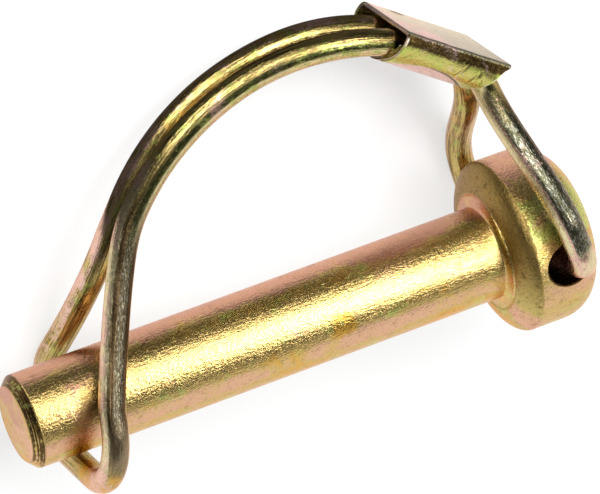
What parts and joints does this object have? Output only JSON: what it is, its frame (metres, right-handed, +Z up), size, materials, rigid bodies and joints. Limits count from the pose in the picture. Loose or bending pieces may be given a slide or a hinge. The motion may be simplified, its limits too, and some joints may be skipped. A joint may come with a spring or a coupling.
{
  "type": "lynch pin",
  "caption": "Round-headed locking pin with a plain chamfered shank and a hinged spring-wire bail that snaps over the tip.",
  "frame": {"origin": "on the shank's axis, where the plain shank ends at the fillet under the head", "axes": "+X towards the head along the shank, which lies a few degrees off level, +Y towards the bail's top, +Z up as the part lies on its side"},
  "size_m": [0.064, 0.0395, 0.0258],
  "materials": {
    "pin_steel": "yellow passivated zinc plate over turned steel, with pink and green tints",
    "wire_steel": "yellow passivated zinc plate over drawn spring wire, greyer and greener than the pin",
    "clip_steel": "yellow passivated zinc plate over thin folded sheet"
  },
  "bodies": {
    "pin": {"pin": "pin_steel"},
    "bail": {"bail": "wire_steel", "clip": "clip_steel"}
  },
  "joints": [
    {"name": "bail_swing", "type": "hinge", "parent": "pin", "child": "bail", "pos_m": [0.00585, 0, 0.00036], "axis": [0.0588, -0.2475, -0.9671], "range_deg": [0, 250], "deforming": ["bail"]}
  ]
}
